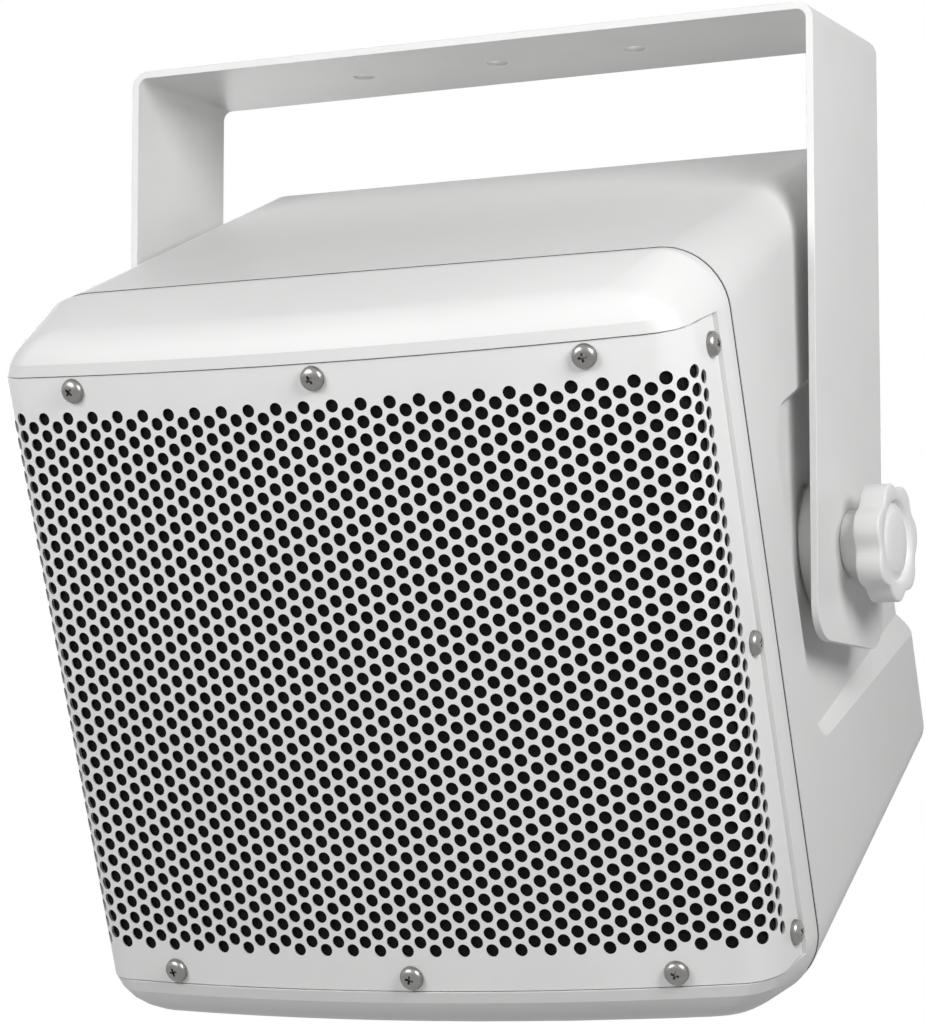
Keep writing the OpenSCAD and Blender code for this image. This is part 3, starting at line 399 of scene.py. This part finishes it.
def buildBracket():
    shape = bracketShape
    low, high = [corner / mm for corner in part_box("u_bracket")]
    bm = bmesh.new()
    path = [(low.x, low.z), (low.x, high.z), (high.x, high.z), (high.x, low.z)]
    verts = [bm.verts.new((x, low.y, z)) for x, z in path]
    edges = [bm.edges.new(pair) for pair in zip(verts, verts[1:])]
    grown = bmesh.ops.extrude_edge_only(bm, edges=edges)["geom"]
    side = [v for v in grown if isinstance(v, bmesh.types.BMVert)]
    bmesh.ops.translate(bm, verts=side, vec=(0, high.y - low.y, 0))
    near = shape["near"]
    bends = [e for e in bm.edges if all(v.co.z > high.z - near for v in e.verts)
             and abs(e.verts[0].co.x - e.verts[1].co.x) < near]
    bmesh.ops.bevel(bm, geom=bends, offset=shape["bend"], segments=shape["bendSteps"], profile=0.5,
                    affect="EDGES", material=-1)
    ends = [v for v in bm.verts if v.co.z < low.z + near]
    bmesh.ops.bevel(bm, geom=ends, offset=shape["legRound"], segments=shape["legSteps"], profile=0.5,
                    affect="VERTICES", material=-1)
    bmesh.ops.recalc_face_normals(bm, faces=bm.faces)
    strap = max(bm.faces, key=lambda f: f.calc_center_median().z)
    if strap.normal.z < 0:
        bmesh.ops.reverse_faces(bm, faces=bm.faces)
    bmesh.ops.solidify(bm, geom=bm.faces[:], thickness=shape["strip"])
    deep = 2 * shape["strip"]
    cutters = [rod(shape["fixing"], (i * shape["pitch"], 0, high.z - deep),
                   (i * shape["pitch"], 0, high.z + deep)) for i in (-1, 0, 1)]
    axle = pivot.z / mm
    cutters += [rod(shape["stud"], (s * (high.x - deep), 0, axle), (s * (high.x + deep), 0, axle))
                for s in (-1, 1)]
    obj = addPiece("bracket_bent", carve(bm, cutters), rowPlace, "u_bracket")
    soften(obj, shape["edge"])


# The star knobs. The face is a dish with a hub in it, as rings of (depth below the edge, radius)
knobShape = dict(lobes=7, outer=24, waist=2.8, notch=1.6, thick=11, neck=13.5, foot=0.5, flare=0.6,
                 edge=1.0, edgeStep=30, steps=84, smooth=50,
                 face=((0, 17.3), (0.5, 16.5), (2.0, 15.6), (2.0, 13.5), (0.9, 12.5), (0.5, 11.5),
                       (0.2, 5.0)))


def acrossPlace(x):  # turns +Z to +X and puts the origin on the tilt axis at x, in metres
    return (Matrix.Translation((x, 0, pivot.z)) @ Matrix.Rotation(math.radians(90), 4, "Y")
            @ Matrix.Scale(mm, 4))


def closedLoop(bm, height, radiusAt):  # a loop of edges whose radius follows from the angle
    steps = knobShape["steps"]
    loop = []
    for i in range(steps):
        angle = math.tau * i / steps
        radius = radiusAt(angle)
        loop.append(bm.verts.new((radius * math.cos(angle), radius * math.sin(angle), height)))
    return [bm.edges.new((a, b)) for a, b in zip(loop, loop[1:] + loop[:1])]


def starLoop(bm, height, shrink):  # the star's outline, smaller by shrink
    def radiusAt(angle):
        wave = 0.5 - 0.5 * math.cos(knobShape["lobes"] * angle)
        return knobShape["outer"] - shrink - knobShape["waist"] * wave ** knobShape["notch"]

    return closedLoop(bm, height, radiusAt)


def ringLoop(bm, height, radius):
    return closedLoop(bm, height, lambda angle: radius)


def buildKnob(side):
    shape = knobShape
    node = side + "_knob"
    low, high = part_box(node)
    reach = (high.x - low.x) / mm
    base = reach - shape["thick"]
    neck, foot, flare, edge = shape["neck"], shape["foot"], shape["flare"], shape["edge"]
    turns = [math.radians(shape["edgeStep"] * i) for i in range(4)]
    bm = bmesh.new()
    loops = [ringLoop(bm, 0, neck - foot), ringLoop(bm, foot, neck), ringLoop(bm, base - flare, neck),
             ringLoop(bm, base, neck + flare)]
    loops += [starLoop(bm, base + edge * (1 - math.cos(turn)), edge * (1 - math.sin(turn)))
              for turn in turns]
    loops += [starLoop(bm, reach - edge * (1 - math.sin(turn)), edge * (1 - math.cos(turn)))
              for turn in turns]
    loops += [ringLoop(bm, reach - deep, radius) for deep, radius in shape["face"]]
    for first, second in zip(loops, loops[1:]):
        bmesh.ops.bridge_loops(bm, edges=first + second)
    bmesh.ops.contextual_create(bm, geom=loops[0])
    bmesh.ops.contextual_create(bm, geom=loops[-1])
    place = acrossPlace(low.x if side == "right" else -high.x)
    if side == "left":
        place = Matrix.Scale(-1, 4, (1, 0, 0)) @ place
    addPiece(side + "_star_knob", bm, place, node, shape["smooth"])


# The round rubber washers
washerShape = dict(edge=0.8, corner=0.24, bore=4.2, steps=64)


def buildWasher(side):
    low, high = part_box(side + "_pivot_washer")
    thick, radius = (high.x - low.x) / mm, (high.y - low.y) / mm / 2
    edge, corner, bore = washerShape["edge"], washerShape["corner"], washerShape["bore"]
    bm = turned([(bore, 0), (radius - edge, 0), (radius - corner, corner), (radius, edge),
                 (radius, thick - edge), (radius - corner, thick - corner), (radius - edge, thick),
                 (bore, thick), (bore, 0)], washerShape["steps"])
    addPiece(side + "_rubber_washer", bm, acrossPlace(low.x), side + "_pivot_washer")


# The perforated sheet: one cell with a round hole, repeated flat and then bent
sheetShape = dict(width=295.6, height=254.1, bow=859, bend=14.6, flange=43, thick=1.2,
                  hole=2.62, holeBehind=3.15, pitch=7, columns=26, rows=32, smooth=40)


def sheetRuns():  # the bend's centre, the angle of half the bow, and the lengths of half bow and bend
    shape = sheetShape
    bendX = shape["width"] / 2 - shape["bend"]
    bowAngle = math.asin(bendX / (shape["bow"] - shape["bend"]))
    bendY = shape["bow"] - (shape["bow"] - shape["bend"]) * math.cos(bowAngle)
    return bendX, bendY, bowAngle, shape["bow"] * bowAngle, shape["bend"] * (math.pi / 2 - bowAngle)


def bendPoint(u, z, deep=0):  # a point of the flat sheet on its bowed front, bend or flange
    shape = sheetShape
    bendX, bendY, bowAngle, bowLength, bendLength = sheetRuns()
    side, far = (1 if u >= 0 else -1), abs(u)
    if far <= bowLength:
        turn = far / shape["bow"]
        radius = shape["bow"] - deep
        return Vector((side * radius * math.sin(turn), shape["bow"] - radius * math.cos(turn), z))
    if far <= bowLength + bendLength:
        turn = bowAngle + (far - bowLength) / shape["bend"]
        radius = shape["bend"] - deep
        return Vector((side * (bendX + radius * math.sin(turn)), bendY - radius * math.cos(turn), z))
    return Vector((side * (shape["width"] / 2 - deep), bendY + far - bowLength - bendLength, z))


def sheetEnd():  # half the sheet's flat width
    bendX, bendY, bowAngle, bowLength, bendLength = sheetRuns()
    return bowLength + bendLength + sheetShape["flange"] - bendY


def columnStep():  # between two columns of holes, in a staggered pattern at 60 degrees
    return sheetShape["pitch"] * math.sin(math.radians(60))


def holeCell():  # a rectangle with four edges a side round a hole that widens towards the back
    shape = sheetShape
    bm = bmesh.new()
    for radius, deep in ((shape["hole"], 0), (shape["holeBehind"], shape["thick"])):
        layer = bmesh.new()
        bmesh.ops.create_grid(layer, x_segments=4, y_segments=4, size=0.5)
        inner = [v for v in layer.verts if max(abs(v.co.x), abs(v.co.y)) < 0.5 - close]
        bmesh.ops.delete(layer, geom=inner, context="VERTS")
        bmesh.ops.scale(layer, verts=layer.verts, vec=(columnStep(), shape["pitch"], 1))
        bmesh.ops.create_circle(layer, segments=16, radius=radius)
        bmesh.ops.bridge_loops(layer, edges=layer.edges[:])
        bmesh.ops.translate(layer, verts=layer.verts, vec=(0, 0, deep))
        pourInto(bm, layer)
    rims = [e for e in bm.edges if e.is_boundary
            and all(v.co.xy.length < shape["holeBehind"] + close for v in e.verts)]
    bmesh.ops.bridge_loops(bm, edges=rims)
    return bm


def pourInto(bm, other):
    mesh = bpy.data.meshes.new("poured")
    other.to_mesh(mesh)
    other.free()
    bm.from_mesh(mesh)
    bpy.data.meshes.remove(mesh)


def copiesOf(bm, places):  # one bmesh with a copy of bm at each of the places
    mesh = bpy.data.meshes.new("copied")
    bm.to_mesh(mesh)
    bm.free()
    joined = bmesh.new()
    for place in places:
        start = len(joined.verts)
        joined.from_mesh(mesh)
        joined.verts.ensure_lookup_table()
        bmesh.ops.transform(joined, matrix=place, verts=joined.verts[start:])
    bpy.data.meshes.remove(mesh)
    return joined


def growEdges(bm, test, move):  # extrudes the border edges whose two ends pass the test
    edges = [e for e in bm.edges if e.is_boundary and all(test(v.co) for v in e.verts)]
    grown = bmesh.ops.extrude_edge_only(bm, edges=edges)["geom"]
    bmesh.ops.translate(bm, verts=[g for g in grown if isinstance(g, bmesh.types.BMVert)], vec=move)


def buildSheet():
    shape = sheetShape
    pitch, rows, columns = shape["pitch"], shape["rows"], shape["columns"]
    step, quarter = columnStep(), pitch / 4
    column = copiesOf(holeCell(), [Matrix.Translation((0, (rows / 2 - 0.5 - j) * pitch, 0))
                                   for j in range(rows)])
    bm = copiesOf(column, [Matrix.Translation((i * step, -quarter if i % 2 == 0 else quarter, 0))
                           for i in range(-columns, columns + 1)])
    bmesh.ops.remove_doubles(bm, verts=bm.verts, dist=close)
    edge = rows * pitch / 2 + quarter  # as far as the longer column ends reach
    for side in (1, -1):
        for quarters in (2, 1):  # the shorter columns grow by a quarter of the pitch, twice
            line = side * (edge - quarters * quarter)
            growEdges(bm, lambda co: abs(co.y - line) < close, (0, side * quarter, 0))
            bmesh.ops.remove_doubles(bm, verts=bm.verts, dist=close)
    reach = (columns + 0.5) * step
    for side in (1, -1):
        growEdges(bm, lambda co: abs(co.x - side * reach) < close, (side * (sheetEnd() - reach), 0, 0))
    for side in (1, -1):
        growEdges(bm, lambda co: abs(co.y - side * edge) < close,
                  (0, side * (shape["height"] / 2 - edge), 0))
    bmesh.ops.bridge_loops(bm, edges=[e for e in bm.edges if e.is_boundary])
    for v in bm.verts:
        v.co = bendPoint(v.co.x, v.co.y, v.co.z)
    addPiece("perforated_sheet", bm, cabinetPlace, "grille", shape["smooth"])


# The open-cell foam behind the sheet
foamShape = dict(behind=1.4, thick=4, reach=161, height=240, ripple=0.5, waves=0.05, columns=70,
                 rows=54)


def buildFoam():
    shape = foamShape
    bm = bmesh.new()
    bmesh.ops.create_grid(bm, x_segments=shape["columns"], y_segments=shape["rows"], size=1)
    bmesh.ops.scale(bm, verts=bm.verts, vec=(shape["reach"], shape["height"] / 2, 1))
    grown = bmesh.ops.extrude_face_region(bm, geom=bm.faces[:])["geom"]
    behind = [g for g in grown if isinstance(g, bmesh.types.BMVert)]
    bmesh.ops.translate(bm, verts=behind, vec=(0, 0, shape["thick"] - shape["ripple"]))
    for v in bm.verts:
        wave = noise.noise(Vector((v.co.x, v.co.y, 3)) * shape["waves"]) * 0.5 + 0.5
        v.co = bendPoint(v.co.x, v.co.y, shape["behind"] + v.co.z + shape["ripple"] * wave)
    obj = addPiece("foam_behind_grille", bm, cabinetPlace, "grille_foam")


# The rubber ring in the joint, whose lip shows as a dark line
gasketShape = dict(half=150.5, top=151.5, low=147.5, corner=25.5, inset=0.28, inner=8.3, gap=0.75,
                   joint=56.2, steps=12)


def buildGasket():
    shape = gasketShape
    bm = bmesh.new()
    loops = []
    for inset in (shape["inset"], shape["inner"]):
        radius, loop = shape["corner"] - inset, []
        centres = [(shape["half"] - shape["corner"], shape["top"] - shape["corner"]),
                   (shape["corner"] - shape["half"], shape["top"] - shape["corner"]),
                   (shape["corner"] - shape["half"], shape["corner"] - shape["low"]),
                   (shape["half"] - shape["corner"], shape["corner"] - shape["low"])]
        for quarter, (x, z) in enumerate(centres):
            for i in range(shape["steps"] + 1):
                angle = math.radians(90 * (quarter + i / shape["steps"]))
                loop.append(bm.verts.new((x + radius * math.cos(angle), shape["joint"],
                                          z + radius * math.sin(angle))))
        loops += [bm.edges.new(pair) for pair in zip(loop, loop[1:] + loop[:1])]
    bmesh.ops.bridge_loops(bm, edges=loops)
    grown = bmesh.ops.extrude_face_region(bm, geom=bm.faces[:])["geom"]
    bmesh.ops.translate(bm, verts=[g for g in grown if isinstance(g, bmesh.types.BMVert)],
                        vec=(0, shape["gap"] / 2, 0))
    bmesh.ops.translate(bm, verts=[v for v in bm.verts if v.co.y < shape["joint"] + close],
                        vec=(0, -shape["gap"] / 2, 0))
    addPiece("joint_ring", bm, cabinetPlace, "cabinet_gasket")


# The grille's pan-head screws
panShape = dict(head=4.95, height=3.3, flat=0.15, rim=0.2, lift=0.02, domeSteps=8, domeOut=0.62,
                domeUp=0.85, shank=2.45, length=11, point=0.5, arm=2.5, slot=0.62, deep=1.7,
                taper=(0.45, 0.6, 1), apart=0.1, steps=32, smooth=38, edge=0.08, sharp=50)
panPlaces = dict(across=110, up=121.45, sideY=37.5, sideUp=116.45,
                 turns=(12, 48, 75, 30, 66, 5, 81, 22, 57, 40, 70, 15))


def panScrew():
    shape = panShape
    head, height, rim, lift = shape["head"], shape["height"], shape["rim"], shape["lift"]
    shank, point, tip = shape["shank"], shape["point"], -shape["length"]
    profile = [(0, tip), (shank - point, tip), (shank, tip + point), (shank, lift),
               (head - shape["flat"], lift), (head, rim)]
    for i in range(1, shape["domeSteps"]):  # the head's rounded side and shallow dome
        angle = math.radians(90 * i / shape["domeSteps"])
        profile.append((head * math.cos(angle) ** shape["domeOut"],
                        rim + (height - rim) * math.sin(angle) ** shape["domeUp"]))
    profile.append((0, height))
    arms = []
    for turn, top in ((0, height), (90, height + shape["apart"])):
        arm = bmesh.new()
        bmesh.ops.create_cube(arm, size=1)
        bmesh.ops.scale(arm, verts=arm.verts,
                        vec=(2 * shape["arm"], 2 * shape["slot"], 2 * shape["deep"]))
        low = [v for v in arm.verts if v.co.z < 0]
        bmesh.ops.scale(arm, verts=low, vec=shape["taper"])
        bmesh.ops.rotate(arm, verts=arm.verts, matrix=Matrix.Rotation(math.radians(turn), 3, "Z"))
        bmesh.ops.translate(arm, verts=arm.verts, vec=(0, 0, top))
        arms.append(arm)
    return carve(turned(profile, shape["steps"]), arms)


def buildScrews():
    where = panPlaces
    front = Matrix.Rotation(math.radians(90), 4, "X")
    spots = []
    for u in (-where["across"], 0, where["across"]):
        lean = Matrix.Rotation(u / sheetShape["bow"], 4, "Z") @ front
        spots += [Matrix.Translation(bendPoint(u, s * where["up"])) @ lean for s in (-1, 1)]
    for side in (-1, 1):
        lean = Matrix.Rotation(math.radians(90 * side), 4, "Y")
        spots += [Matrix.Translation((side * sheetShape["width"] / 2, where["sideY"], z)) @ lean
                  for z in (-where["sideUp"], 0, where["sideUp"])]
    places = [spot @ Matrix.Rotation(math.radians(turn), 4, "Z")
              for spot, turn in zip(spots, where["turns"])]
    obj = addPiece("pan_head_screws", copiesOf(panScrew(), places), cabinetPlace, "grille_screws",
                   panShape["smooth"])
    soften(obj, panShape["edge"], 1, panShape["sharp"])


# The wadding inside the rear shell
padShape = dict(cuts=24, ripple=1.6, waves=40, same=1e-6, flat=1, smooth=60)


def buildPad():
    shape = padShape
    low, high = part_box("damping_pad")
    bm = bmesh.new()
    bm.from_mesh(frame["nodes"]["damping_pad"].data)
    bmesh.ops.remove_doubles(bm, verts=bm.verts, dist=shape["same"])
    bmesh.ops.dissolve_limit(bm, angle_limit=math.radians(shape["flat"]), verts=bm.verts, edges=bm.edges)
    bmesh.ops.subdivide_edges(bm, edges=bm.edges[:], cuts=shape["cuts"], use_grid_fill=True)
    bmesh.ops.recalc_face_normals(bm, faces=bm.faces)
    middle = (low + high) / 2
    for v in bm.verts:
        wave = noise.noise(v.co * shape["waves"]) * 0.5 + 0.5
        v.co += (middle - v.co).normalized() * shape["ripple"] * wave * mm
    obj = addPiece("wadding", bm, Matrix.Identity(4), "damping_pad", shape["smooth"], copyShape["join"])


def finishCadNodes():  # the inner pieces keep their own shapes and take the finishes
    for name, obj in frame["nodes"].items():
        obj.data.materials.clear()
        obj.data.materials.append(paints[slotOf[name]])


# The widths of the copies' rounded edges, in mm
mouldedEdges = dict(front=0.3, shell=1.0)
rearEdges = dict(terminal_cover=0.6, gland_body=0.4, gland_nut=0.4, gland_locknut=0.3,
                 gland_seal=0.3, cover_gasket=0.2)

paints = buildPaints()
print("finishes made:", len(paints))
finishCadNodes()
buildBracket()
print("bracket made")
for side in ("left", "right"):
    buildKnob(side)
    buildWasher(side)
print("knobs and washers made")
cadCopy("moulded_front", "front_frame", mouldedEdges["front"])
cadCopy("moulded_shell", "rear_shell", mouldedEdges["shell"])
print("mouldings made")
buildSheet()
buildFoam()
buildGasket()
buildScrews()
print("grille, foam and screws made")
for node, width in rearEdges.items():
    cadCopy(node + "_rounded", node, width)
buildPad()
print("rear cover, gland and wadding made")

buildSurroundings()
middle = (cadBox[0] + cadBox[1]) / 2
addLamp("key", keyLamp, middle)
addLamp("fill", fillLamp, middle)
addLamp("back", backLamp, middle)
buildCamera()
scene.view_settings.view_transform = "Standard"
